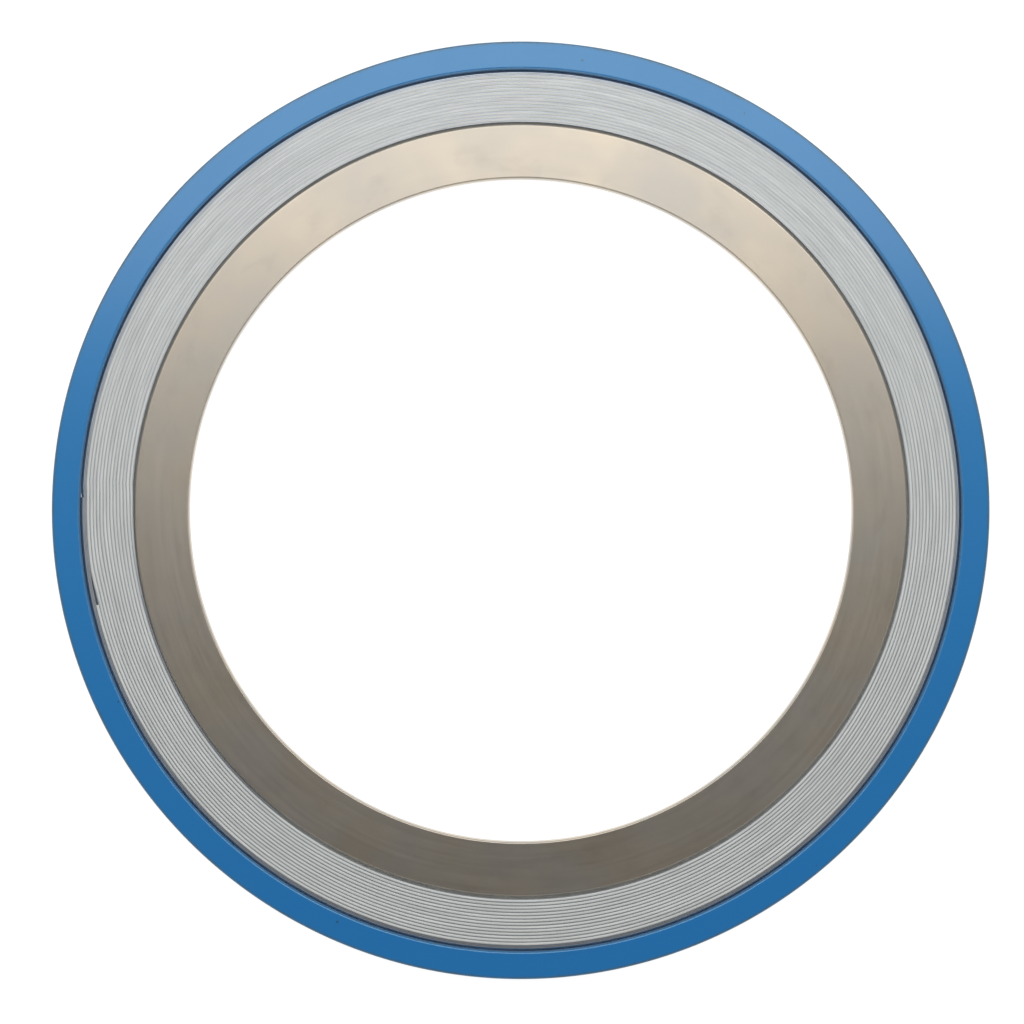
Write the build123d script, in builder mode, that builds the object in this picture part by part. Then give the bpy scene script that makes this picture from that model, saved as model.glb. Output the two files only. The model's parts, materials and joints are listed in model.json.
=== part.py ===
from build123d import *

import math
import os

# Spiral wound gasket for a DN 150 / NPS 6, Class 150 raised-face flange.
#
# A flat painted centering ring locates the gasket inside the flange bolts.  In
# its V-grooved bore sits the sealing winding: a chevron-shaped steel strip and
# a soft filler strip wound together as one spiral.  A flat stainless inner
# ring, with a nose round its rim, sits in the hollow of the innermost turn.
#
# The origin is the centre of the gasket, on its middle plane, and +Z is its
# axis.  Both faces are alike.  All sizes are in millimetres.

# ----------------------------------------------------------- sizes: inner ring

BORE_DIAMETER = 157.2           # open bore, in line with the pipe's
INNER_FACE_WIDTH = 12.6         # flat face, from the bore outward
NOSE_REACH = 0.95               # how far the nose stands out past the chamfers
BORE_CHAMFER = 0.3              # corners of the bore
FACE_CHAMFER = 0.25             # corners beside the winding

# -------------------------------------------------------------- sizes: winding

WINDING_WIDTH = 12.1            # across one of its faces
WINDING_THICKNESS = 4.5         # over the filler, before a flange presses on it
CHEVRON_DEPTH = 1.05            # how far the strip's middle stands out from its edges

STRIP_THICKNESS = 0.2           # steel strip
FILLER_THICKNESS = 0.56         # filler strip
FILLER_STANDOUT = 0.12          # filler above the steel edges, on each face
PLY_GAP = 0.08                  # air between turns of bare steel strip

INNER_PLIES = 1                 # turns of bare strip before the filler starts
OUTER_PLIES = 3                 # turns of bare strip after the filler ends
TURNS_PER_RIDGE = 1.5           # filler turns that share one ridge of the faces

STRIP_START_ANGLE = 231.3       # where the first ply begins, degrees from +X
FILLER_END_ANGLE = 192.6        # where the filler begins and ends

# ------------------------------------------------------- sizes: centering ring

CENTERING_RING_WIDTH = 6.05     # from the bottom of its groove to its rim
RIM_CHAMFER = 0.3               # outer corners
LIP_CHAMFER = 0.4               # corners beside the winding

RING_THICKNESS = 3.2            # both rings are cut from the same gauge of plate

# ------------------------------------------------------------------------ fits

NOSE_CLEARANCE = 0.3            # inner ring's nose to the hollow of the first ply
TIP_CLEARANCE = 0.3             # chevron tip to the groove of the centering ring

# --------------------------------------------- radii, from the bore to the rim

bore_radius = BORE_DIAMETER / 2
inner_face_radius = bore_radius + INNER_FACE_WIDTH
inner_side_radius = inner_face_radius + FACE_CHAMFER
nose_radius = inner_side_radius + NOSE_REACH

hollow_radius = nose_radius + NOSE_CLEARANCE
inner_edge_radius = hollow_radius - CHEVRON_DEPTH
outer_edge_radius = inner_edge_radius + WINDING_WIDTH
tip_radius = outer_edge_radius + CHEVRON_DEPTH

groove_radius = tip_radius + TIP_CLEARANCE
rim_radius = groove_radius + CENTERING_RING_WIDTH

# ------------------------------------------- heights, from the middle plane up

ring_half = RING_THICKNESS / 2
winding_half = WINDING_THICKNESS / 2
steel_half = winding_half - FILLER_STANDOUT

# --------------------------------------------------------------------- ridges

# The ridges fill the band between the bare plies, and the spiral widens by one
# ridge in a turn, so the band holds one ridge fewer than its width would.

ply_pitch = STRIP_THICKNESS + PLY_GAP
turn_pitch = STRIP_THICKNESS + FILLER_THICKNESS
first_ridge_radius = inner_edge_radius + INNER_PLIES * ply_pitch
last_ridge_radius = outer_edge_radius - OUTER_PLIES * ply_pitch
ridge_band = last_ridge_radius - first_ridge_radius
ridges = math.floor(ridge_band / (TURNS_PER_RIDGE * turn_pitch)) - 1
ridge_pitch = ridge_band / (ridges + 1)


def seam_direction(angle):
    """Unit vector that points from the axis to a seam at this angle."""
    return Vector(math.cos(math.radians(angle)), math.sin(math.radians(angle)), 0)


def half_turn_plane(half, angle, rise):
    """Section plane of half 0 or 1 of a turn that widens by `rise` from a seam.

    A spiral turn is drawn with two centres: each half turn is a true arc, and
    the second centre lies half a rise further along the seam than the first,
    so the arcs meet in line.  The plane's origin is on the half turn's own
    axis, its X points to where the half turn starts, and its Y is up.
    """
    along = seam_direction(angle)
    centre = along * ((half - 0.5) * rise / 2)
    outward = along if half == 0 else along * -1
    return Plane(origin=centre, x_dir=outward, z_dir=outward.cross(Vector(0, 0, 1)))


def half_turn_widening(half, rise):
    """What a half turn's radii gain on the radii at the start of the turn."""
    return (half + 0.5) * rise / 2


def half_turn_axis(plane):
    """Axis of a half turn; the spiral opens clockwise, seen from above."""
    return Axis(plane.origin, (0, 0, -1))


# ------------------------------------------------------------- centering ring

# Its bore is a V-groove that follows the chevron, so the winding snaps in.

lip_height = ring_half - LIP_CHAMFER
lip_radius = groove_radius - CHEVRON_DEPTH * lip_height / winding_half

with BuildPart() as centering_ring:
    with BuildSketch(Plane.XZ):
        with BuildLine():
            Polyline(
                (groove_radius, 0),
                (lip_radius, lip_height),
                (lip_radius + LIP_CHAMFER, ring_half),
                (rim_radius - RIM_CHAMFER, ring_half),
                (rim_radius, ring_half - RIM_CHAMFER),
                (rim_radius, 0),
                close=True,
            )
        make_face()
        mirror(about=Plane.XZ)
    revolve(axis=Axis.Z)

# ----------------------------------------------------------------- inner ring

# Its outer edge is a nose that reaches into the hollow of the first ply.

with BuildPart() as inner_ring:
    with BuildSketch(Plane.XZ):
        with BuildLine():
            Polyline(
                (nose_radius, 0),
                (inner_side_radius, ring_half - FACE_CHAMFER),
                (inner_face_radius, ring_half),
                (bore_radius + BORE_CHAMFER, ring_half),
                (bore_radius, ring_half - BORE_CHAMFER),
                (bore_radius, 0),
                close=True,
            )
        make_face()
        mirror(about=Plane.XZ)
    revolve(axis=Axis.Z)

# -------------------------------------------------------------------- winding

# The wound strips are pressed so tight that they are one body.  Its outside is
# the last ply's chevron, and its inside is the hollow of the first ply, whose
# loose end leaves a small step.  On each face the filler stands up in spiral
# ridges, with the steel edges of the strip in the furrows between them and in
# the flat bands of bare plies on either side.
#
# It starts as a round blank twice as thick, with the last ply's chevron round
# it, and the hollow and the two faces are then cut.

blank_half = 2 * winding_half
cut_half = 3 * winding_half

with BuildPart() as winding:
    with BuildSketch(Plane.XZ):
        with BuildLine():
            Polyline(
                (0, 0),
                (tip_radius, 0),
                (outer_edge_radius, winding_half),
                (outer_edge_radius, blank_half),
                (0, blank_half),
                close=True,
            )
        make_face()
        mirror(about=Plane.XZ)
    revolve(axis=Axis.Z)

    # The hollow inside: one spiral turn, whose rise leaves the step of the first ply.
    for half in range(2):
        hollow_plane = half_turn_plane(half, STRIP_START_ANGLE, ply_pitch)
        widening = half_turn_widening(half, ply_pitch)
        with BuildSketch(hollow_plane):
            with BuildLine():
                Polyline(
                    (0, 0),
                    (hollow_radius + widening, 0),
                    (inner_edge_radius + widening, winding_half),
                    (inner_edge_radius + widening, cut_half),
                    (0, cut_half),
                    close=True,
                )
            make_face()
            mirror(about=Plane.XZ)
        revolve(axis=half_turn_axis(hollow_plane), revolution_arc=180, mode=Mode.SUBTRACT)

    # The faces: all that stands above the ridges is cut away, on both sides at once.
    for half in range(2):
        face_plane = half_turn_plane(half, FILLER_END_ANGLE, ridge_pitch)
        furrow_radius = first_ridge_radius + half_turn_widening(half, ridge_pitch)
        ridge_line = [(furrow_radius, steel_half)]
        for ridge in range(ridges):
            ridge_line.append((furrow_radius + (ridge + 0.5) * ridge_pitch, winding_half))
            ridge_line.append((furrow_radius + (ridge + 1) * ridge_pitch, steel_half))
        with BuildSketch(face_plane):
            with BuildLine():
                Polyline(
                    (bore_radius, cut_half),
                    (bore_radius, steel_half),
                    *ridge_line,
                    (rim_radius, steel_half),
                    (rim_radius, cut_half),
                    close=True,
                )
            make_face()
            mirror(about=Plane.XZ)
        revolve(axis=half_turn_axis(face_plane), revolution_arc=180, mode=Mode.SUBTRACT)

# --------------------------------------------------------------------- export

centering_ring.part.label = "centering_ring"
winding.part.label = "winding"
inner_ring.part.label = "inner_ring"

os.makedirs("parts", exist_ok=True)
export_step(centering_ring.part, "parts/centering_ring.step")
export_step(winding.part, "parts/winding.step")
export_step(inner_ring.part, "parts/inner_ring.step")

print("ridges on each face:", ridges)
print("turns of filler they stand for:", math.floor(ridge_band / turn_pitch))
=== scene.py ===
"""Looks of a spiral wound flange gasket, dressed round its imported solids.

The gasket is built here as it is made: a stove-enamelled centering ring, a ring of satin stainless
plate at the bore, and between them one V-shaped steel strip and one soft filler tape, wound together
turn on turn.  Lengths are millimetres until a vertex is placed, and then metres.
"""

import json
import logging
import math
from dataclasses import dataclass, field
from enum import Enum
from typing import Any, Callable, Iterable, Sequence

import bmesh
import bpy
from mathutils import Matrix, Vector


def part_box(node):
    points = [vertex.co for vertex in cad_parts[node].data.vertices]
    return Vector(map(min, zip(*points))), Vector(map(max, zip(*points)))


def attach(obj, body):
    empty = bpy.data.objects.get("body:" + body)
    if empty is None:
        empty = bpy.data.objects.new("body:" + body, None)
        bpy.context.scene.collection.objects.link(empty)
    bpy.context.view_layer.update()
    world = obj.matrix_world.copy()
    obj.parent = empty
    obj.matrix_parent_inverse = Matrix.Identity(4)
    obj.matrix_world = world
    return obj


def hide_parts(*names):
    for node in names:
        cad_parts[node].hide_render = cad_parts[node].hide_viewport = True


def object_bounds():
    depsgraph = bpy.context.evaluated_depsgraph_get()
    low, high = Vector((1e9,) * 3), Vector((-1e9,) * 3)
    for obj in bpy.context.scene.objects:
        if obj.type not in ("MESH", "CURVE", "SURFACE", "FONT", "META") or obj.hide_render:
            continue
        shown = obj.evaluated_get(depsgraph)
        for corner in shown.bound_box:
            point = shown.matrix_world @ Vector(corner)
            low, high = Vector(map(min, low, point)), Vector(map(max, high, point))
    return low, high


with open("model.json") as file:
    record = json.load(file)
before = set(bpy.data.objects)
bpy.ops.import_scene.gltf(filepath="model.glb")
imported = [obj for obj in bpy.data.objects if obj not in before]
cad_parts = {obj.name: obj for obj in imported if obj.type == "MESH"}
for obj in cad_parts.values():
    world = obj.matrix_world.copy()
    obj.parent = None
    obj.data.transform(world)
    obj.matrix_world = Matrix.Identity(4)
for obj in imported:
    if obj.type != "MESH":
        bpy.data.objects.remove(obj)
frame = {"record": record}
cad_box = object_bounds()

MM = 0.001
BODY = "root"
WHITE = (1.0, 1.0, 1.0, 1.0)

CHEVRON_DEPTH = 1.05         # how far the winding's middle stands out from its edges
NOSE_CLEARANCE = 0.3         # inner ring's nose to the hollow of the winding
TIP_CLEARANCE = 0.3          # winding's tip to the groove of the centering ring
FLOOR_GAP = 0.01             # gasket to floor

NOISE_SPAN = (0.3, 0.7)      # nearly all of a noise texture lies between these
NOISE_CORE = (0.35, 0.65)    # and most of it between these

log = logging.getLogger("gasket")


class Slot(Enum):
    """Material slots that the record names."""

    PAINT = "blue_paint"
    PLATE = "stainless_plate"
    STRIP = "stainless_strip"
    FILLER = "white_filler"


# --------------------------------------------------------------------------- small helpers


def linear(hex_colour: str) -> tuple[float, float, float, float]:
    """Turns an sRGB colour into the linear one that shaders take.

    Args:
        hex_colour: The colour as "#RRGGBB".

    Returns:
        Linear red, green and blue, and an alpha of 1.
    """
    parts = (int(hex_colour[start:start + 2], 16) / 255 for start in (1, 3, 5))
    red, green, blue = (
        part / 12.92 if part <= 0.04045 else ((part + 0.055) / 1.055) ** 2.4 for part in parts)
    return red, green, blue, 1.0


def per_length(length: float) -> float:
    """Texture scale, in cells a metre, of a pattern whose cells are this many millimetres wide."""
    return 1 / (length * MM)


def ease(share: float) -> float:
    """Smooth step from 0 to 1 as share goes from 0 to 1."""
    held = min(max(share, 0.0), 1.0)
    return held * held * (3 - 2 * held)


def reach(node: str) -> tuple[float, float]:
    """Largest radius and height that a round CAD node leaves room for.

    Args:
        node: Name of a node whose axis is Z.

    Returns:
        Radius and half height in millimetres.
    """
    low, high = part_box(node)
    return min(high.x, high.y, -low.x, -low.y) / MM, min(high.z, -low.z) / MM


def add_node(tree: bpy.types.NodeTree, kind: str, inputs: dict[Any, Any] | None = None,
             **settings: Any) -> bpy.types.Node:
    """Adds a node with its settings, values and links.

    Args:
        tree: The node tree.
        kind: Type name of the node.
        inputs: Values by socket name or number; an output socket as value is linked.
        **settings: Properties of the node itself.

    Returns:
        The new node.
    """
    node = tree.nodes.new(kind)
    for name, value in settings.items():
        setattr(node, name, value)
    for name, value in (inputs or {}).items():
        if isinstance(value, bpy.types.NodeSocket):
            tree.links.new(value, node.inputs[name])
        else:
            node.inputs[name].default_value = value
    return node


def object_from(mesh_data: bmesh.types.BMesh, name: str, sharp_degrees: float = 30.0) -> bpy.types.Object:
    """Turns a finished bmesh into an object at the origin, with its normals outward.

    Args:
        mesh_data: The bmesh, which is freed.
        name: Name of the piece.
        sharp_degrees: Edges that turn more than this stay crisp.

    Returns:
        The new object, linked to the scene.
    """
    bmesh.ops.recalc_face_normals(mesh_data, faces=mesh_data.faces)
    for face in mesh_data.faces:
        face.smooth = True
    mesh = bpy.data.meshes.new(name)
    mesh_data.to_mesh(mesh)
    mesh_data.free()
    mesh.set_sharp_from_angle(angle=math.radians(sharp_degrees))
    piece = bpy.data.objects.new(name, mesh)
    bpy.context.scene.collection.objects.link(piece)
    return piece


def settle(piece: bpy.types.Object, node: str, material: bpy.types.Material) -> None:
    """Dresses a piece, stands it in for a CAD node and lets it ride.

    Args:
        piece: The piece.
        node: CAD node that it stands for.
        material: Its material.
    """
    piece.data.materials.append(material)
    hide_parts(node)
    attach(piece, BODY)


# ------------------------------------------------------------------------------- spun rings


@dataclass(frozen=True)
class Corner:
    """Corner of a ring's section: its radius, height and rounding in millimetres."""

    radius: float
    height: float
    rounding: float


@dataclass(frozen=True)
class SpunRing:
    """Ring turned from the upper half of its section, which starts or ends on the middle plane."""

    name: str
    half_section: Sequence[Corner]
    steps: int = 360
    rounding_segments: int = 4
    guard: float = 0.06          # how far from a rounding the loops lie that keep the flats flat
    flat_length: float = 0.24    # sides longer than this are flats
    sharp_degrees: float = 60.0

    def section(self) -> list[Corner]:
        """Whole section: the half one and its mirror image below the middle plane."""
        upper = (corner for corner in reversed(self.half_section) if corner.height > 0)
        below = [Corner(corner.radius, -corner.height, corner.rounding) for corner in upper]
        return [*self.half_section, *below]

    def build(self) -> bpy.types.Object:
        """Rounds the section's corners, guards its flats and spins it.

        Returns:
            The ring.
        """
        mesh_data = bmesh.new()
        corners = self.section()
        points = [mesh_data.verts.new((corner.radius * MM, 0, corner.height * MM)) for corner in corners]
        mesh_data.faces.new(points)
        for point, corner in zip(points, corners):
            bmesh.ops.bevel(mesh_data, geom=[point], offset=corner.rounding * MM, offset_type="OFFSET",
                            segments=self.rounding_segments, profile=0.5, affect="VERTICES", material=-1)
        bmesh.ops.delete(mesh_data, geom=mesh_data.faces[:], context="FACES_ONLY")
        for flat in [edge for edge in mesh_data.edges if edge.calc_length() > self.flat_length * MM]:
            for end in flat.verts[:]:
                rest = max(end.link_edges, key=lambda edge: edge.calc_length())
                bmesh.utils.edge_split(rest, end, self.guard * MM / rest.calc_length())
        bmesh.ops.spin(mesh_data, geom=mesh_data.verts[:] + mesh_data.edges[:], axis=(0, 0, 1),
                       cent=(0, 0, 0), dvec=(0, 0, 0), angle=math.tau, steps=self.steps, use_merge=True,
                       use_duplicate=False)
        return object_from(mesh_data, self.name, self.sharp_degrees)


# ------------------------------------------------------------------------------ the winding


@dataclass(frozen=True)
class Seam:
    """Angle at which every turn steps outward, and over how many degrees it does so."""

    angle: float
    width: float

    def passed(self, turn: float, number: float) -> float:
        """How much of the step of turn `number`, from 0 to 1, a strip has climbed at `turn`."""
        return ease((turn - number - self.angle / 360) / (self.width / 360))


@dataclass(frozen=True)
class WindingPath:
    """Route of the steel strip, read in turns from its start and clockwise seen from above.

    Each turn lies round on the one below.  It only steps outward at two seams: one where the
    mandrel's notch held the strip's start, and one where the filler begins and ends.
    """

    first_edge: float                        # radius of the first ply's inner side, at the faces
    steel: float = 0.2
    filler: float = 0.56
    ply_gap: float = 0.08
    slack: float = 0.01                      # air on each side of the tape
    start_degrees: float = 231.3             # from +X
    filler_seam: Seam = Seam(38.7, 5.0)      # clockwise from the start; the width is the last turn's
    seam_spread: float = 1.2                 # degrees that the step is wider on each turn further in
    ply_seam: Seam = Seam(53.0, 2.0)
    filler_turns: int = 14
    outer_plies: int = 3                     # turns of bare strip outside the tape
    steps_per_turn: int = 240

    @property
    def filler_start(self) -> float:
        """Turn at which the filler begins, measured on the first ply, which it lies on."""
        return self.filler_seam.angle / 360

    @property
    def filler_end(self) -> float:
        """Turn at which the filler ends, measured on the ply that it lies on."""
        return self.filler_start + self.filler_turns

    @property
    def strip_end(self) -> float:
        """Turn at which the steel strip ends, where the ply below steps out to its place."""
        return self.filler_end + self.outer_plies + (self.ply_seam.angle - self.filler_seam.angle) / 360

    def inner_side(self, turn: float) -> float:
        """Radius of the strip's inner side, at the faces.

        Args:
            turn: Turns from the strip's start.

        Returns:
            Radius in millimetres.
        """
        plies = sum(self.ply_seam.passed(turn, number) for number in range(math.floor(turn) + 1))
        tapes = sum(self._filler_step(number).passed(turn, 1 + number)
                    for number in range(self.filler_turns))
        room = self.filler + 2 * self.slack
        return self.first_edge + plies * (self.steel + self.ply_gap) + tapes * (room - self.ply_gap)

    def _filler_step(self, number: int) -> Seam:
        """Seam of the tape's turn `number`, counted from 0: the further in, the gentler its step."""
        further_in = self.filler_turns - 1 - number
        return Seam(self.filler_seam.angle, self.filler_seam.width + self.seam_spread * further_in)

    def place(self, turn: float, radius: float, height: float) -> Vector:
        """Point of the winding in metres, from its turn and its radius and height in millimetres."""
        angle = math.radians(self.start_degrees - 360 * turn)
        return Vector((radius * math.cos(angle), radius * math.sin(angle), height)) * MM


@dataclass
class Winding:
    """Sealing element: the steel strip and the filler tape, wound as one."""

    path: WindingPath
    half_height: float                # over the filler
    chevron_depth: float = CHEVRON_DEPTH
    apex_flat: float = 0.07           # what the V's rounded point lacks
    apex_half: float = 0.45           # half height of that rounding
    standout: float = 0.12            # filler above the steel edges
    shoulder: float = 0.03            # how far the tape's shoulders lie below the steel edges
    # Across the tape's edge: share of its width, and share of the way down from crest to shoulder.
    crown: tuple[tuple[float, float], ...] = ((0.0, 1.0), (0.16, 0.3), (0.5, 0.0), (0.84, 0.3), (1.0, 1.0))
    waver: float = 0.018              # how far edges and crests stray from their height
    # The waves of that: how many to a turn, and what multiplies the phase.
    waves: tuple[tuple[float, float], ...] = ((5.3, 1.0), (8.9, 2.1), (14.7, 3.7))
    strip_phases: tuple[float, float] = (0.4, 1.9)   # of the upper and the lower edge
    tape_phases: tuple[float, float] = (5.2, 3.1)
    stretch: int = 60                 # steps that are extruded in one go
    weld: float = 0.0002              # how near two stretches' ends lie
    sharp_degrees: float = 35.0
    pieces: list[bpy.types.Object] = field(default_factory=list)

    def build(self) -> list[bpy.types.Object]:
        """Sweeps the strip and the tape along their path.

        Returns:
            The two pieces.
        """
        path = self.path
        strip = self._sweep("steel_strip", 0.0, path.strip_end, self._strip_section)
        tape = self._sweep("filler_tape", path.filler_start, path.filler_end, self._tape_section)
        self.pieces = [strip, tape]
        return self.pieces

    def dress(self, strip_finish: "SlitStainless", tape_finish: "FillerTape") -> None:
        """Gives both pieces their finish and their place in the frame."""
        strip, tape = self.pieces
        settle(strip, "winding", strip_finish.material())
        settle(tape, "winding", tape_finish.material())

    def _lean(self, height: float) -> float:
        """How far the chevron stands out from its edges at a height."""
        straight = self.chevron_depth * (1 - abs(height) / self.half_height)
        return min(straight, self.chevron_depth - self.apex_flat)

    def _stray(self, turn: float, phase: float) -> float:
        """Slow wander of an edge's height along the winding, in millimetres."""
        total = sum(math.sin(math.tau * count * turn + shift * phase) for count, shift in self.waves)
        return self.waver * total / len(self.waves)

    def _edges(self, turn: float, half: float, phases: tuple[float, float]) -> tuple[float, float]:
        """Heights of the upper and the lower edge, of which neither passes this half height."""
        upper, lower = (half + self._stray(turn, phase) - self.waver for phase in phases)
        return upper, -lower

    def _strip_section(self, turn: float) -> list[tuple[float, float]]:
        """Section of the strip at a turn: radius and height of its corners, in order."""
        inner = self.path.inner_side(turn)
        top, bottom = self._edges(turn, self.half_height - self.standout, self.strip_phases)
        heights = [top, self.apex_half, 0.0, -self.apex_half, bottom]
        inside = [(inner + self._lean(height), height) for height in heights]
        outside = [(radius + self.path.steel, height) for radius, height in reversed(inside)]
        return inside + outside

    def _tape_section(self, turn: float) -> list[tuple[float, float]]:
        """Section of the tape at a turn, with its crowned edges."""
        inner = self.path.inner_side(turn) + self.path.steel + self.path.slack
        width = self.path.inner_side(turn + 1) - inner - self.path.slack
        top, bottom = self._edges(turn, self.half_height, self.tape_phases)
        crown_depth = self.standout + self.shoulder
        over = [(share, top - drop * crown_depth) for share, drop in self.crown]
        under = [(share, bottom + top - height) for share, height in reversed(over)]
        points = [(0.0, 0.0), *over, (1.0, 0.0), *under]
        return [(inner + share * width + self._lean(height), height) for share, height in points]

    def _sweep(self, name: str, first: float, last: float,
               section: Callable[[float], list[tuple[float, float]]]) -> bpy.types.Object:
        """Extrudes a section step by step along the path and closes both ends.

        Args:
            name: Name of the piece.
            first: Turn at which it starts.
            last: Turn at which it ends.
            section: Gives the corners at a turn.

        Returns:
            The piece.
        """
        steps = math.ceil((last - first) * self.path.steps_per_turn)
        turns = [first + (last - first) * step / steps for step in range(steps + 1)]
        mesh_data = bmesh.new()
        for start in range(0, steps, self.stretch):
            self._append_stretch(mesh_data, turns[start:start + self.stretch + 1], section,
                                 closed_start=start == 0, closed_end=start + self.stretch >= steps)
        bmesh.ops.remove_doubles(mesh_data, verts=mesh_data.verts, dist=self.weld * MM)
        return object_from(mesh_data, name, self.sharp_degrees)

    def _append_stretch(self, whole: bmesh.types.BMesh, turns: Sequence[float],
                        section: Callable[[float], list[tuple[float, float]]], closed_start: bool,
                        closed_end: bool) -> None:
        """Extrudes one stretch in a bmesh of its own, where each step is quick, and adds it to the whole.

        Args:
            whole: The bmesh that it is added to.
            turns: Turns at which a section stands.
            section: Gives the corners at a turn.
            closed_start: Whether its first section is a face.
            closed_end: Whether its last section is a face.
        """
        piece = bmesh.new()
        ring = [piece.verts.new(self.path.place(turns[0], *corner)) for corner in section(turns[0])]
        cap = piece.faces.new(ring)
        edges = list(cap.edges)
        for turn in turns[1:]:
            made = bmesh.ops.extrude_edge_only(piece, edges=edges)["geom"]
            edges = [item for item in made if isinstance(item, bmesh.types.BMEdge) and item.is_boundary]
            fresh = {item for item in made if isinstance(item, bmesh.types.BMVert)}
            ring = [next(edge.other_vert(vert) for edge in vert.link_edges if edge.other_vert(vert) in fresh)
                    for vert in ring]
            for vert, corner in zip(ring, section(turn)):
                vert.co = self.path.place(turn, *corner)
        if closed_end:
            piece.faces.new(ring)
        if not closed_start:
            bmesh.ops.delete(piece, geom=[cap], context="FACES_ONLY")
        mesh = bpy.data.meshes.new("stretch")
        piece.to_mesh(mesh)
        piece.free()
        whole.from_mesh(mesh)
        bpy.data.meshes.remove(mesh)


# -------------------------------------------------------------------------------- the rings


@dataclass
class CenteringRing:
    """Outer ring that sits inside the flange bolts; a V-groove in its bore holds the winding."""

    rim_radius: float
    half_height: float
    groove_radius: float
    groove_slope: float               # radius lost for each millimetre from the middle plane
    lip_chamfer: float = 0.4
    rim_chamfer: float = 0.3
    groove_rounding: float = 0.12
    lip_roundings: tuple[float, float] = (0.1, 0.16)      # of the chamfer's lower and upper edge
    rim_rounding: float = 0.2
    piece: bpy.types.Object | None = None

    @property
    def lip_height(self) -> float:
        """Height above the middle plane at which the lip's chamfer begins."""
        return self.half_height - self.lip_chamfer

    @property
    def lip_radius(self) -> float:
        """Radius of the lip's inner edge."""
        return self.groove_radius - self.groove_slope * self.lip_height

    def build(self) -> bpy.types.Object:
        """Spins the ring.

        Returns:
            The piece.
        """
        lip_lower, lip_upper = self.lip_roundings
        half_section = [
            Corner(self.groove_radius, 0, self.groove_rounding),
            Corner(self.lip_radius, self.lip_height, lip_lower),
            Corner(self.lip_radius + self.lip_chamfer, self.half_height, lip_upper),
            Corner(self.rim_radius - self.rim_chamfer, self.half_height, self.rim_rounding),
            Corner(self.rim_radius, self.half_height - self.rim_chamfer, self.rim_rounding),
        ]
        self.piece = SpunRing("centering_ring_enamelled", half_section).build()
        return self.piece

    def dress(self, finish: "StoveEnamel") -> None:
        """Gives the ring its finish and its place in the frame."""
        settle(self.piece, "centering_ring", finish.material())


@dataclass
class InnerRing:
    """Ring of plate at the bore, whose nose reaches into the hollow of the winding."""

    bore_radius: float
    nose_radius: float
    half_height: float
    face_width: float = 12.6
    bore_chamfer: float = 0.3
    face_chamfer: float = 0.25
    nose_rounding: float = 0.15
    face_roundings: tuple[float, float] = (0.15, 0.17)    # of the chamfer's lower and upper edge
    bore_rounding: float = 0.1
    piece: bpy.types.Object | None = None

    @property
    def face_radius(self) -> float:
        """Radius at which the flat face ends."""
        return self.bore_radius + self.face_width

    @property
    def middle_radius(self) -> float:
        """Radius of the middle of the flat face."""
        return self.bore_radius + self.face_width / 2

    def build(self) -> bpy.types.Object:
        """Spins the ring.

        Returns:
            The piece.
        """
        face_lower, face_upper = self.face_roundings
        half_section = [
            Corner(self.nose_radius, 0, self.nose_rounding),
            Corner(self.face_radius + self.face_chamfer, self.half_height - self.face_chamfer, face_lower),
            Corner(self.face_radius, self.half_height, face_upper),
            Corner(self.bore_radius + self.bore_chamfer, self.half_height, self.bore_rounding),
            Corner(self.bore_radius, self.half_height - self.bore_chamfer, self.bore_rounding),
        ]
        self.piece = SpunRing("inner_ring_satin", half_section).build()
        return self.piece

    def dress(self, finish: "SatinPlate") -> None:
        """Gives the ring its finish and its place in the frame."""
        settle(self.piece, "inner_ring", finish.material())


# --------------------------------------------------------------------------------- finishes


@dataclass(frozen=True)
class RingCoordinates:
    """Sockets that a pattern on a ring is made from."""

    point: bpy.types.NodeSocket       # object coordinates, metres
    radius: bpy.types.NodeSocket      # distance from the axis, metres
    heading: bpy.types.NodeSocket     # unit vector away from the axis


def ring_coordinates(tree: bpy.types.NodeTree) -> RingCoordinates:
    """Adds the nodes that read a point's radius and heading from its object coordinates."""
    point = add_node(tree, "ShaderNodeTexCoord").outputs["Object"]
    flat = add_node(tree, "ShaderNodeVectorMath", {0: point, 1: (1, 1, 0)}, operation="MULTIPLY").outputs[0]
    radius = add_node(tree, "ShaderNodeVectorMath", {0: flat}, operation="LENGTH").outputs["Value"]
    heading = add_node(tree, "ShaderNodeVectorMath", {0: flat}, operation="NORMALIZE").outputs[0]
    return RingCoordinates(point, radius, heading)


def grain_vector(tree: bpy.types.NodeTree, ring: RingCoordinates, along: float, across: float,
                 middle_radius: float) -> bpy.types.NodeSocket:
    """Vector for a noise whose grains run round the ring, without a seam.

    Args:
        tree: The node tree.
        ring: The ring's coordinates.
        along: Length of a grain round the ring, in millimetres.
        across: Its width, in millimetres.
        middle_radius: Radius at which that length holds, in millimetres.

    Returns:
        The vector socket, for a noise with a scale of 1.
    """
    around = add_node(tree, "ShaderNodeVectorMath", {0: ring.heading, "Scale": middle_radius / along},
                      operation="SCALE").outputs[0]
    outward = add_node(tree, "ShaderNodeMath", {0: ring.radius, 1: per_length(across)},
                       operation="MULTIPLY").outputs[0]
    lift = add_node(tree, "ShaderNodeCombineXYZ", {"Z": outward}).outputs[0]
    return add_node(tree, "ShaderNodeVectorMath", {0: around, 1: lift}, operation="ADD").outputs[0]


def new_material(name: str) -> tuple[bpy.types.Material, bpy.types.NodeTree]:
    """Makes an empty node material.

    Args:
        name: Name of the material.

    Returns:
        The material and its node tree.
    """
    material = bpy.data.materials.new(name)
    material.use_nodes = True
    material.node_tree.nodes.clear()
    return material, material.node_tree


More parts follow.
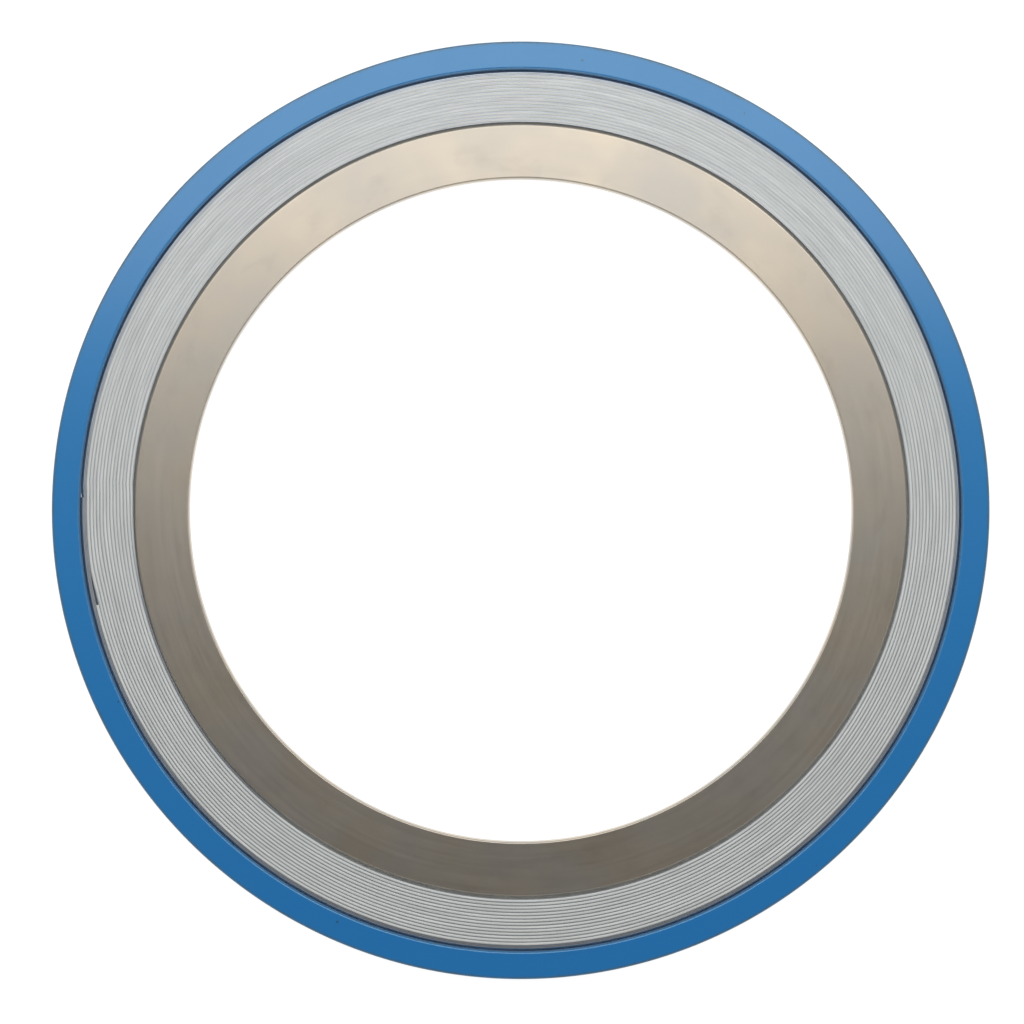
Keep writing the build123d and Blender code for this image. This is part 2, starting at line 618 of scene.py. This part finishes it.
@dataclass(frozen=True)
class StoveEnamel:
    """Blue stoving enamel, sprayed on a mild steel ring and baked.

    It gives the eye a saturated, half-gloss skin with a faint orange peel, a few dust nibs, a paler
    blue painted highlight over the lip, and a greyer line round the rim's corners that is partly
    rubbed paint and partly painted shade.
    """

    lip_radius: float
    rim_radius: float
    half_height: float

    colour: str = "#1077C4"
    deep_colour: str = "#0A70BA"
    sheen_colour: str = "#89EDFF"     # of the pigmented film under the clear skin
    cloud: float = 26.0               # width of the slow drifts in film thickness

    ragged: float = 1.1               # from bite to bite in the edges of thin and scuffed paint
    ragged_depth: float = 0.5

    # Painted highlight: a paler blue laid over the lip's chamfer, where its edge would catch the light.
    lip_highlight_colour: str = "#5C8DB4"
    lip_width: float = 0.34
    lip_blend: float = 0.12           # half the width over which the painted lip highlight fades out
    lip_highlight_strength: float = 0.6

    # Greyer colour at the rim's corners: partly rubbed paint, partly painted shade of the rounded edge.
    rim_scuff_and_shade_colour: str = "#3B4C54"
    scuff_and_shade_strength: float = 0.95
    scuff_width: float = 0.9          # from the rim inward
    scuff_solid: float = 0.2          # share of that width, at the rim, where it doesn't fade
    scuff_depths: tuple[float, float] = (0.3, 0.7)    # below the face: down to where full, and gone
    side_scuff: float = 0.25          # share of the rubbed paint and painted shade that is left halfway down the rim's side
    scuff_patch: float = 5.0
    scuff_patchiness: tuple[float, float] = (0.6, 1.0)

    nib_colour: str = "#1B4C7A"
    nib_spacing: float = 7.0
    nib_edge: tuple[float, float] = (0.035, 0.055)    # radius where a nib is full and gone, in spacings
    nib_height: float = 1.5           # in depths of the peel

    peel: float = 1.7                 # orange peel, crest to crest
    peel_depth: float = 0.012

    roughness: tuple[float, float] = (0.36, 0.46)
    scuff_roughness: float = 0.25     # what scuffs add
    film_ior: float = 1.9
    coat_roughness: float = 0.19
    coat_ior: float = 1.7

    def material(self) -> bpy.types.Material:
        """Builds the material.

        Returns:
            The material.
        """
        material, tree = new_material("blue_stove_enamel")
        ring = ring_coordinates(tree)
        clouds = add_node(tree, "ShaderNodeTexNoise", {
            "Vector": ring.point, "Scale": per_length(self.cloud), "Detail": 3.0})
        body = add_node(tree, "ShaderNodeMix", {
            0: clouds.outputs[0], 6: linear(self.colour), 7: linear(self.deep_colour)}, data_type="RGBA")

        edge_radius = self._ragged_radius(tree, ring)
        lip_edge = self.lip_radius + self.lip_width
        # Mask of the lip's painted highlight, full inside lip_edge.
        lip = add_node(tree, "ShaderNodeMapRange", {
            "Value": edge_radius, "From Min": (lip_edge + self.lip_blend) * MM,
            "From Max": (lip_edge - self.lip_blend) * MM, "To Max": self.lip_highlight_strength})
        scuff_and_shade = self._rim_scuff_and_shade(tree, ring, edge_radius)
        nibs = add_node(tree, "ShaderNodeTexVoronoi", {
            "Vector": ring.point, "Scale": per_length(self.nib_spacing)})
        nib = add_node(tree, "ShaderNodeMapRange", {
            "Value": nibs.outputs["Distance"], "From Min": self.nib_edge[1], "From Max": self.nib_edge[0]})

        # Mixes the lip's painted highlight into the body colour.
        lip_highlighted = add_node(tree, "ShaderNodeMix", {
            0: lip.outputs[0], 6: body.outputs[2], 7: linear(self.lip_highlight_colour)}, data_type="RGBA")
        # Mixes in the rim's rubbed paint together with its painted shade.
        scuffed_and_shaded = add_node(tree, "ShaderNodeMix", {
            0: scuff_and_shade, 6: lip_highlighted.outputs[2], 7: linear(self.rim_scuff_and_shade_colour)}, data_type="RGBA")
        coloured = add_node(tree, "ShaderNodeMix", {
            0: nib.outputs[0], 6: scuffed_and_shaded.outputs[2], 7: linear(self.nib_colour)}, data_type="RGBA")

        peel = add_node(tree, "ShaderNodeTexNoise", {
            "Vector": ring.point, "Scale": per_length(self.peel), "Detail": 2.0})
        skin = add_node(tree, "ShaderNodeMath", {
            0: nib.outputs[0], 1: self.nib_height, 2: peel.outputs[0]}, operation="MULTIPLY_ADD")
        bump = add_node(tree, "ShaderNodeBump", {
            "Height": skin.outputs[0], "Distance": self.peel_depth * MM, "Strength": 1.0})

        dulling = add_node(tree, "ShaderNodeMapRange", {
            "Value": clouds.outputs[0], "To Min": self.roughness[0], "To Max": self.roughness[1]})
        worn = add_node(tree, "ShaderNodeMath", {
            0: scuff_and_shade, 1: self.scuff_roughness, 2: dulling.outputs[0]}, operation="MULTIPLY_ADD")
        shader = add_node(tree, "ShaderNodeBsdfPrincipled", {
            "Base Color": coloured.outputs[2], "Roughness": worn.outputs[0], "IOR": self.film_ior,
            "Specular Tint": linear(self.sheen_colour), "Normal": bump.outputs[0],
            "Coat Weight": 1.0, "Coat Roughness": self.coat_roughness, "Coat IOR": self.coat_ior})
        add_node(tree, "ShaderNodeOutputMaterial", {"Surface": shader.outputs[0]})
        return material

    def _ragged_radius(self, tree: bpy.types.NodeTree, ring: RingCoordinates) -> bpy.types.NodeSocket:
        """Radius that wanders a little, so that edges drawn from it are ragged."""
        bites = add_node(tree, "ShaderNodeTexNoise", {
            "Vector": ring.point, "Scale": per_length(self.ragged), "Detail": 4.0})
        wander = add_node(tree, "ShaderNodeMath", {
            0: bites.outputs[0], 1: self.ragged_depth * MM, 2: -self.ragged_depth / 2 * MM},
            operation="MULTIPLY_ADD")
        return add_node(tree, "ShaderNodeMath", {0: ring.radius, 1: wander.outputs[0]},
                        operation="ADD").outputs[0]

    def _rim_scuff_and_shade(self, tree: bpy.types.NodeTree, ring: RingCoordinates,
               edge_radius: bpy.types.NodeSocket) -> bpy.types.NodeSocket:
        """How strongly the rim's corners are rubbed and painted in shade, from 0 to 1.

        Args:
            tree: The node tree.
            ring: The ring's coordinates.
            edge_radius: The ragged radius.

        Returns:
            The socket.
        """
        rim = add_node(tree, "ShaderNodeMapRange", {
            "Value": edge_radius, "From Min": (self.rim_radius - self.scuff_width) * MM,
            "From Max": (self.rim_radius - self.scuff_solid * self.scuff_width) * MM,
            "To Max": self.scuff_and_shade_strength})
        place = add_node(tree, "ShaderNodeSeparateXYZ", {0: ring.point})
        height = add_node(tree, "ShaderNodeMath", {0: place.outputs["Z"]}, operation="ABSOLUTE")
        full, gone = self.scuff_depths
        corner = add_node(tree, "ShaderNodeMapRange", {
            "Value": height.outputs[0], "From Min": (self.half_height - gone) * MM,
            "From Max": (self.half_height - full) * MM, "To Min": self.side_scuff})
        patches = add_node(tree, "ShaderNodeTexNoise", {
            "Vector": ring.point, "Scale": per_length(self.scuff_patch), "Detail": 5.0})
        patchy = add_node(tree, "ShaderNodeMapRange", {
            "Value": patches.outputs[0], "From Min": NOISE_CORE[0], "From Max": NOISE_CORE[1],
            "To Min": self.scuff_patchiness[0], "To Max": self.scuff_patchiness[1]})
        worn_corner = add_node(tree, "ShaderNodeMath", {0: corner.outputs[0], 1: patchy.outputs[0]},
                               operation="MULTIPLY")
        return add_node(tree, "ShaderNodeMath", {0: rim.outputs[0], 1: worn_corner.outputs[0]},
                        operation="MULTIPLY").outputs[0]


@dataclass(frozen=True)
class SatinPlate:
    """Cold rolled stainless plate, parted on a lathe and lightly rubbed round.

    It gives the eye a warm grey satin sheen, with faint streaks round the ring, slow cool and
    straw-coloured clouds from handling, a few darker smudges and a rougher filed corner with a
    painted highlight.
    """

    middle_radius: float
    face_radius: float                # where the flat face ends and the broken corner begins

    warm_colour: str = "#D2C6B4"
    cool_colour: str = "#C4BDB2"
    cloud: float = 24.0

    smudge_colour: str = "#8A8176"
    smudge_length: float = 13.0
    smudge_width: float = 6.5
    smudge_span: tuple[float, float] = (0.56, 0.80)       # of the noise, from no smudge to a full one
    smudge_strength: float = 0.2

    streak_length: float = 22.0
    streak_width: float = 0.9
    grains_to_a_streak: int = 3
    grain_width: float = 0.3          # drawn three times as coarse as rubbing leaves, to show
    grain_depth: float = 0.0015
    mottle: float = 4.5               # breath and finger marks, blotch to blotch

    roughness: tuple[float, float] = (0.27, 0.30)
    cloud_roughness: float = 0.03     # what each of these adds
    mottle_roughness: float = 0.035
    filed_roughness: float = 0.35

    corner_highlight_colour: str = "#F4F1EA"     # painted highlight, near white, along the filed corner
    corner_highlight_strength: float = 0.7
    filed_blend: float = 0.05

    def material(self) -> bpy.types.Material:
        """Builds the material.

        Returns:
            The material.
        """
        material, tree = new_material("satin_stainless_plate")
        ring = ring_coordinates(tree)
        clouds = add_node(tree, "ShaderNodeTexNoise", {
            "Vector": ring.point, "Scale": per_length(self.cloud), "Detail": 3.0})
        cloud = add_node(tree, "ShaderNodeMapRange", {
            "Value": clouds.outputs[0], "From Min": NOISE_CORE[0], "From Max": NOISE_CORE[1]})
        body = add_node(tree, "ShaderNodeMix", {
            0: cloud.outputs[0], 6: linear(self.warm_colour), 7: linear(self.cool_colour)}, data_type="RGBA")

        smudge_vector = grain_vector(tree, ring, self.smudge_length, self.smudge_width, self.middle_radius)
        smudges = add_node(tree, "ShaderNodeTexNoise", {
            "Vector": smudge_vector, "Scale": 1.0, "Detail": 4.0, "Roughness": 0.6})
        smudge = add_node(tree, "ShaderNodeMapRange", {
            "Value": smudges.outputs[0], "From Min": self.smudge_span[0], "From Max": self.smudge_span[1],
            "To Max": self.smudge_strength})
        stained = add_node(tree, "ShaderNodeMix", {
            0: smudge.outputs[0], 6: body.outputs[2], 7: linear(self.smudge_colour)}, data_type="RGBA")

        corner = add_node(tree, "ShaderNodeMapRange", {
            "Value": ring.radius, "From Min": self.face_radius * MM,
            "From Max": (self.face_radius + self.filed_blend) * MM, "To Max": self.filed_roughness})
        # Painted highlight: the filed corner's colour is mixed toward near white; its added roughness is the
        # filed edge itself.
        corner_highlight = add_node(tree, "ShaderNodeMath", {
            0: corner.outputs[0], 1: self.corner_highlight_strength / self.filed_roughness}, operation="MULTIPLY")
        coloured = add_node(tree, "ShaderNodeMix", {
            0: corner_highlight.outputs[0], 6: stained.outputs[2], 7: linear(self.corner_highlight_colour)}, data_type="RGBA")

        roughness = self._roughness(tree, ring, cloud.outputs[0], corner.outputs[0])
        grain_length = self.streak_length / self.grains_to_a_streak
        grain_flow = grain_vector(tree, ring, grain_length, self.grain_width, self.middle_radius)
        grain = add_node(tree, "ShaderNodeTexNoise", {"Vector": grain_flow, "Scale": 1.0, "Detail": 2.0})
        bump = add_node(tree, "ShaderNodeBump", {
            "Height": grain.outputs[0], "Distance": self.grain_depth * MM, "Strength": 1.0})
        shader = add_node(tree, "ShaderNodeBsdfPrincipled", {
            "Base Color": coloured.outputs[2], "Metallic": 1.0, "Roughness": roughness,
            "Normal": bump.outputs[0]})
        add_node(tree, "ShaderNodeOutputMaterial", {"Surface": shader.outputs[0]})
        return material

    def _roughness(self, tree: bpy.types.NodeTree, ring: RingCoordinates, cloud: bpy.types.NodeSocket,
                   corner: bpy.types.NodeSocket) -> bpy.types.NodeSocket:
        """Roughness from the streaks, the clouds, the finger marks and the filed corner.

        Args:
            tree: The node tree.
            ring: The ring's coordinates.
            cloud: The clouds, from 0 to 1.
            corner: What the filed corner adds.

        Returns:
            The socket.
        """
        streak_flow = grain_vector(tree, ring, self.streak_length, self.streak_width, self.middle_radius)
        streaks = add_node(tree, "ShaderNodeTexNoise", {"Vector": streak_flow, "Scale": 1.0, "Detail": 3.0})
        sheen = add_node(tree, "ShaderNodeMapRange", {
            "Value": streaks.outputs[0], "From Min": NOISE_SPAN[0], "From Max": NOISE_SPAN[1],
            "To Min": self.roughness[0], "To Max": self.roughness[1]})
        clouded = add_node(tree, "ShaderNodeMath", {
            0: cloud, 1: self.cloud_roughness, 2: sheen.outputs[0]}, operation="MULTIPLY_ADD")
        mottle = add_node(tree, "ShaderNodeTexNoise", {
            "Vector": ring.point, "Scale": per_length(self.mottle), "Detail": 4.0, "Roughness": 0.65})
        marked = add_node(tree, "ShaderNodeMath", {
            0: mottle.outputs[0], 1: self.mottle_roughness, 2: clouded.outputs[0]},
            operation="MULTIPLY_ADD")
        return add_node(tree, "ShaderNodeMath", {0: marked.outputs[0], 1: corner}, operation="ADD").outputs[0]


@dataclass(frozen=True)
class SlitStainless:
    """Thin stainless strip, rolled to a V and seen on its slit edges.

    It gives the eye fine grey lines between the white turns, brighter where an edge was burnished.
    """

    middle_radius: float
    colour: str = "#CCD2D8"
    dull_colour: str = "#B6BCC3"
    patch_length: float = 9.0
    patch_width: float = 0.5
    roughness: tuple[float, float] = (0.33, 0.45)

    def material(self) -> bpy.types.Material:
        """Builds the material.

        Returns:
            The material.
        """
        material, tree = new_material("slit_stainless_strip")
        ring = ring_coordinates(tree)
        patch_flow = grain_vector(tree, ring, self.patch_length, self.patch_width, self.middle_radius)
        patches = add_node(tree, "ShaderNodeTexNoise", {"Vector": patch_flow, "Scale": 1.0, "Detail": 3.0})
        patch = add_node(tree, "ShaderNodeMapRange", {
            "Value": patches.outputs[0], "From Min": NOISE_SPAN[0], "From Max": NOISE_SPAN[1]})
        body = add_node(tree, "ShaderNodeMix", {
            0: patch.outputs[0], 6: linear(self.colour), 7: linear(self.dull_colour)}, data_type="RGBA")
        dulling = add_node(tree, "ShaderNodeMapRange", {
            "Value": patches.outputs[0], "To Min": self.roughness[0], "To Max": self.roughness[1]})
        shader = add_node(tree, "ShaderNodeBsdfPrincipled", {
            "Base Color": body.outputs[2], "Metallic": 1.0, "Roughness": dulling.outputs[0]})
        add_node(tree, "ShaderNodeOutputMaterial", {"Surface": shader.outputs[0]})
        return material


@dataclass(frozen=True)
class FillerTape:
    """Skived fluoropolymer tape, squeezed between the steel turns.

    It gives the eye a matt, slightly waxy off-white with a little grey rubbed off the steel.
    """

    middle_radius: float
    colour: str = "#E8EAE7"
    soiled_colour: str = "#D1D3D0"
    patch_length: float = 14.0
    patch_width: float = 0.8
    crumb: float = 0.5                # torn surface of the squeezed edge, crumb to crumb
    crumb_depth: float = 0.02
    roughness: float = 0.62
    ior: float = 1.38

    def material(self) -> bpy.types.Material:
        """Builds the material.

        Returns:
            The material.
        """
        material, tree = new_material("skived_white_filler")
        ring = ring_coordinates(tree)
        patch_flow = grain_vector(tree, ring, self.patch_length, self.patch_width, self.middle_radius)
        patches = add_node(tree, "ShaderNodeTexNoise", {"Vector": patch_flow, "Scale": 1.0, "Detail": 4.0})
        patch = add_node(tree, "ShaderNodeMapRange", {
            "Value": patches.outputs[0], "From Min": NOISE_SPAN[0], "From Max": NOISE_SPAN[1]})
        body = add_node(tree, "ShaderNodeMix", {
            0: patch.outputs[0], 6: linear(self.colour), 7: linear(self.soiled_colour)}, data_type="RGBA")
        crumbs = add_node(tree, "ShaderNodeTexNoise", {
            "Vector": ring.point, "Scale": per_length(self.crumb), "Detail": 2.0})
        bump = add_node(tree, "ShaderNodeBump", {
            "Height": crumbs.outputs[0], "Distance": self.crumb_depth * MM, "Strength": 1.0})
        shader = add_node(tree, "ShaderNodeBsdfPrincipled", {
            "Base Color": body.outputs[2], "Roughness": self.roughness, "IOR": self.ior,
            "Normal": bump.outputs[0]})
        add_node(tree, "ShaderNodeOutputMaterial", {"Surface": shader.outputs[0]})
        return material


@dataclass(frozen=True)
class LightTable:
    """Opal acrylic top of a light table.

    It gives the eye a pale floor that glows from below, so that hardly a shadow shows on it.
    """

    colour: str = "#8C8C8C"           # what it throws back of the light from above
    glow: float = 0.9
    roughness: float = 0.7

    def material(self) -> bpy.types.Material:
        """Builds the material.

        Returns:
            The material.
        """
        material, tree = new_material("opal_acrylic")
        shader = add_node(tree, "ShaderNodeBsdfPrincipled", {
            "Base Color": linear(self.colour), "Roughness": self.roughness,
            "Emission Color": WHITE, "Emission Strength": self.glow})
        add_node(tree, "ShaderNodeOutputMaterial", {"Surface": shader.outputs[0]})
        return material


# ------------------------------------------------------------------------------- the studio


@dataclass(frozen=True)
class Softbox:
    """Rectangular light that faces the gasket."""

    name: str
    place: tuple[float, float, float]     # metres
    size: tuple[float, float]             # metres
    power: float                          # watts

    def build(self) -> bpy.types.Object:
        """Makes the light.

        Returns:
            The light's object.
        """
        light = bpy.data.lights.new(self.name, "AREA")
        light.shape = "RECTANGLE"
        light.size, light.size_y = self.size
        light.energy = self.power
        lamp = bpy.data.objects.new(self.name, light)
        lamp.location = self.place
        lamp.rotation_euler = (-Vector(self.place)).to_track_quat("-Z", "Y").to_euler()
        bpy.context.scene.collection.objects.link(lamp)
        return lamp


@dataclass
class Studio:
    """Floor, lights, room and camera."""

    floor_height: float                   # metres
    rim_radius: float                     # millimetres
    softbox: Softbox = Softbox("window_softbox", (0.0, 0.33, 0.67), (0.9, 0.50), 2.22)
    floor_radius: float = 12.0            # metres
    floor_sides: int = 64
    room_strength: float = 0.634
    room_dark: float = 0.125
    dark_heading: tuple[float, float, float] = (0.0, -0.16, 0.98)
    dark_degrees: tuple[float, float] = (14.0, 46.0)   # from its middle: fully dark, and fully light
    rim_share: float = 0.91612            # of the picture's width that the rim takes up
    rim_edge_height: float = 1.3          # millimetres; the edge that the camera sees as the outline
    aim: tuple[float, float] = (-2.06, -0.40)   # point under the camera, millimetres from the axis
    camera_height: float = 0.7            # metres
    sensor: float = 36.0                  # millimetres
    clip: tuple[float, float] = (0.01, 50.0)    # metres

    def build(self) -> None:
        """Builds the whole studio."""
        self._floor()
        self._room()
        self.softbox.build()
        self._camera()
        bpy.context.scene.view_settings.view_transform = "Standard"

    def _floor(self) -> None:
        """Lays the pale floor."""
        mesh_data = bmesh.new()
        bmesh.ops.create_circle(mesh_data, cap_ends=True, segments=self.floor_sides, radius=self.floor_radius)
        bmesh.ops.translate(mesh_data, verts=mesh_data.verts, vec=(0, 0, self.floor_height))
        floor = object_from(mesh_data, "light_table")
        floor.data.materials.append(LightTable().material())

    def _room(self) -> None:
        """Lights the room evenly, but for the dark patch overhead where a person leans in."""
        world = bpy.data.worlds.new("studio_room")
        world.use_nodes = True
        tree = world.node_tree
        tree.nodes.clear()
        toward = add_node(tree, "ShaderNodeTexCoord").outputs["Generated"]
        heading = Vector(self.dark_heading).normalized()
        facing = add_node(tree, "ShaderNodeVectorMath", {0: toward, 1: tuple(heading)},
                          operation="DOT_PRODUCT")
        full, none = (math.cos(math.radians(degrees)) for degrees in self.dark_degrees)
        level = add_node(tree, "ShaderNodeMapRange", {
            "Value": facing.outputs["Value"], "From Min": none, "From Max": full,
            "To Min": self.room_strength, "To Max": self.room_dark}, interpolation_type="SMOOTHSTEP")
        background = add_node(tree, "ShaderNodeBackground", {"Color": WHITE, "Strength": level.outputs[0]})
        add_node(tree, "ShaderNodeOutputWorld", {"Surface": background.outputs[0]})
        bpy.context.scene.world = world

    def _camera(self) -> None:
        """Hangs the camera straight above the gasket."""
        data = bpy.data.cameras.new("overhead_camera")
        data.sensor_width = self.sensor
        distance = self.camera_height - self.rim_edge_height * MM
        data.lens = self.sensor * distance / (2 * self.rim_radius * MM) * self.rim_share
        data.clip_start, data.clip_end = self.clip
        camera = bpy.data.objects.new("overhead_camera", data)
        camera.location = (self.aim[0] * MM, self.aim[1] * MM, self.camera_height)
        bpy.context.scene.collection.objects.link(camera)
        bpy.context.scene.camera = camera


# ------------------------------------------------------------------------------------- main


def bore_radius_of(record: dict[str, Any]) -> float:
    """Radius of the open bore in millimetres, from the record's mount."""
    bore = next(mount for mount in record["mounts"] if mount["name"] == "bore")
    return bore["dims"]["r_mm"]


def main() -> None:
    """Builds the gasket piece by piece, then the studio round it."""
    logging.basicConfig(level=logging.INFO, format="%(name)s: %(message)s")

    nose_radius, ring_half = reach("inner_ring")
    tip_radius, winding_half = reach("winding")
    rim_radius, _ = reach("centering_ring")
    hollow_edge = nose_radius + NOSE_CLEARANCE - CHEVRON_DEPTH
    groove_radius = tip_radius + TIP_CLEARANCE

    centering_ring = CenteringRing(rim_radius, ring_half, groove_radius, CHEVRON_DEPTH / winding_half)
    winding = Winding(WindingPath(hollow_edge), winding_half)
    inner_ring = InnerRing(bore_radius_of(frame["record"]), nose_radius, ring_half)

    for part in (centering_ring, winding, inner_ring):
        made = part.build()
        for piece in made if isinstance(made, list) else [made]:
            log.info("%s: %d faces", piece.name, len(piece.data.polygons))

    winding_middle = (hollow_edge + tip_radius) / 2
    centering_ring.dress(StoveEnamel(centering_ring.lip_radius, rim_radius, ring_half))
    inner_ring.dress(SatinPlate(inner_ring.middle_radius, inner_ring.face_radius))
    winding.dress(SlitStainless(winding_middle), FillerTape(winding_middle))

    Studio(floor_height=cad_box[0].z - FLOOR_GAP * MM, rim_radius=rim_radius).build()


if __name__ == "__main__":
    main()
